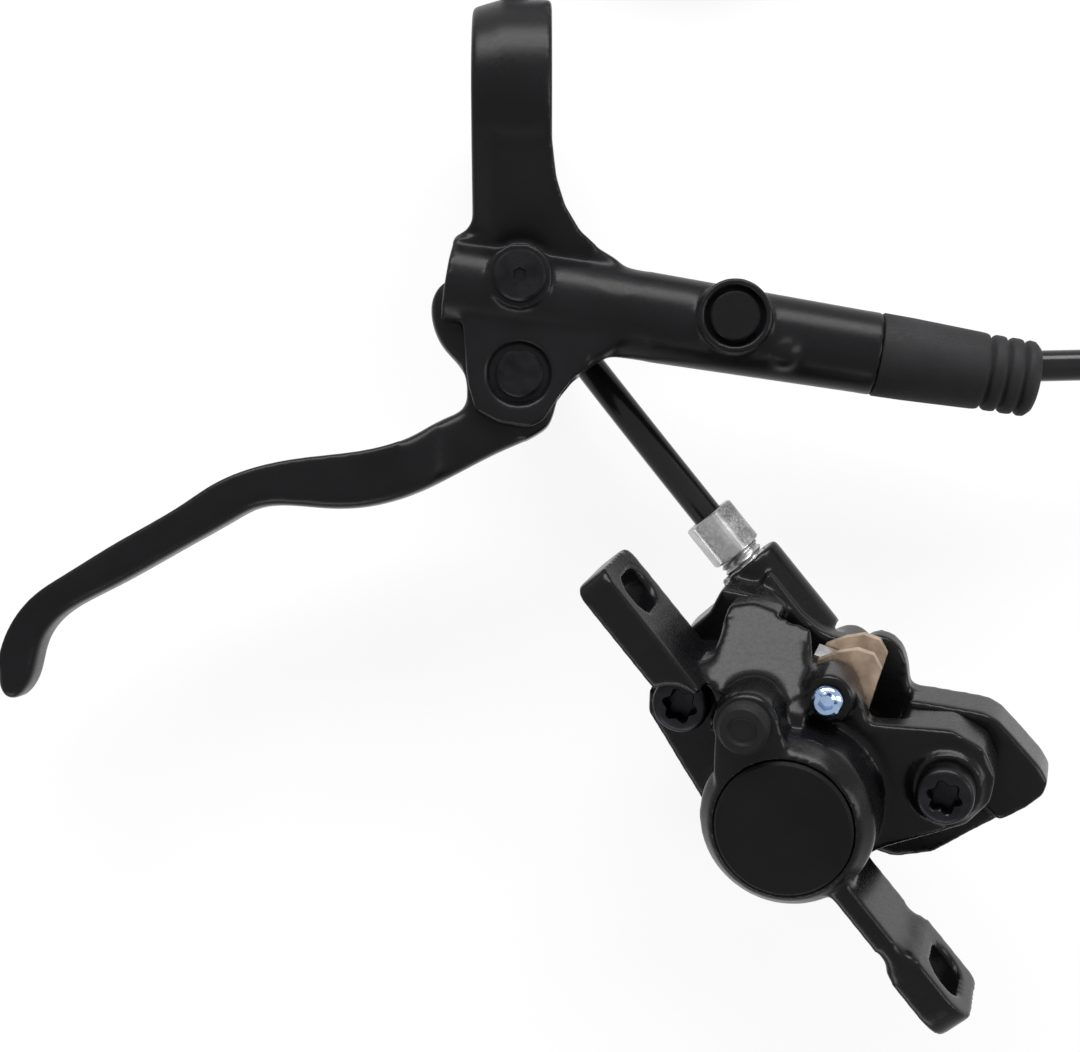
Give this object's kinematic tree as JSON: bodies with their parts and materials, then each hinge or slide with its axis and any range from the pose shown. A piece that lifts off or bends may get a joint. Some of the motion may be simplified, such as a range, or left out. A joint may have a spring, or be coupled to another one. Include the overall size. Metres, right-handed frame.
{
  "type": "hydraulic disc brake",
  "caption": "Bicycle hydraulic disc brake: flat-bar lever with master cylinder, hose with a put-away coil, and post-mount caliper with pistons and pads.",
  "frame": {"origin": "middle of the handlebar clamp's bore", "axes": "+X along the handlebar towards the hose's end of the lever unit, +Y away from the lever blade, +Z out of the face that carries the bleed screw; the lever unit, the caliper and the hose lie on a floor at Z -20.1 mm"},
  "size_m": [0.2231, 0.2384, 0.0506],
  "materials": {
    "lever_paint": "satin",
    "blade_paint": "satin",
    "caliper_paint": "satin",
    "cover_paint": "matt",
    "black_steel": "satin",
    "black_plastic": "satin",
    "white_plastic": "satin",
    "seal_rubber": "matt",
    "boot_rubber": "matt",
    "zinc_steel": "satin",
    "blue_chrome": "polished",
    "olive_brass": "satin",
    "ceramic": "satin",
    "bronze_plate": "satin",
    "lining": "matt",
    "hose_plastic": "gloss"
  },
  "bodies": {
    "fixed": {"lever_body": "lever_paint", "clamp_bolt": "black_steel", "bleed_screw": "black_steel", "bleed_screw_seal": "seal_rubber", "reservoir_plug": "black_plastic", "reservoir_diaphragm": "seal_rubber", "pivot_pin": "black_steel", "pivot_clip": "zinc_steel", "return_spring": "zinc_steel", "lever_hose_nut": "zinc_steel", "lever_olive": "olive_brass", "hose_boot": "boot_rubber", "caliper_outer_half": "caliper_paint", "caliper_inner_half": "caliper_paint", "round_cover": "cover_paint", "body_bolt_front": "black_steel", "body_bolt_rear": "black_steel", "transfer_seal": "seal_rubber", "outer_piston_seal": "seal_rubber", "inner_piston_seal": "seal_rubber", "pad_spring": "zinc_steel", "pad_pin": "blue_chrome", "pad_pin_clip": "zinc_steel", "bleed_nipple": "zinc_steel", "bleed_cap": "seal_rubber", "caliper_hose_nut": "zinc_steel", "caliper_olive": "olive_brass", "hose_from_caliper": "hose_plastic", "hose_coil": "hose_plastic", "hose_to_lever": "hose_plastic"},
    "blade": {"lever_blade": "blade_paint", "pivot_bush": "white_plastic", "reach_screw": "zinc_steel"},
    "master": {"push_rod": "zinc_steel", "master_piston": "white_plastic", "primary_cup": "seal_rubber", "secondary_cup": "seal_rubber"},
    "outer_pad": {"outer_piston": "ceramic", "outer_pad_plate": "bronze_plate", "outer_pad_lining": "lining"},
    "inner_pad": {"inner_piston": "ceramic", "inner_pad_plate": "bronze_plate", "inner_pad_lining": "lining"}
  },
  "joints": [
    {"name": "lever_pivot", "type": "hinge", "parent": "fixed", "child": "blade", "pos_m": [0.0011, -0.045, 0], "axis": [0, 0, -1], "range_deg": [0, 20], "stiffness_Nm_per_rad": 0.6, "springref_deg": -17.19},
    {"name": "master_slide", "type": "slide", "parent": "fixed", "child": "master", "axis": [0.987, -0.1609, 0], "range_m": [0, 0.005], "deforming": ["return_spring"]},
    {"name": "outer_pad_slide", "type": "slide", "parent": "fixed", "child": "outer_pad", "axis": [0.2535, 0.2042, -0.9455], "range_m": [0, 0.001], "deforming": ["pad_spring"]},
    {"name": "inner_pad_slide", "type": "slide", "parent": "fixed", "child": "inner_pad", "axis": [-0.2535, -0.2042, 0.9455], "range_m": [0, 0.001]}
  ],
  "couplings": [
    {"joint": "master_slide", "follows": "lever_pivot", "m_per_rad": 0.0138},
    {"joint": "outer_pad_slide", "follows": "lever_pivot", "m_per_rad": 0.0028},
    {"joint": "inner_pad_slide", "follows": "lever_pivot", "m_per_rad": 0.0028}
  ]
}
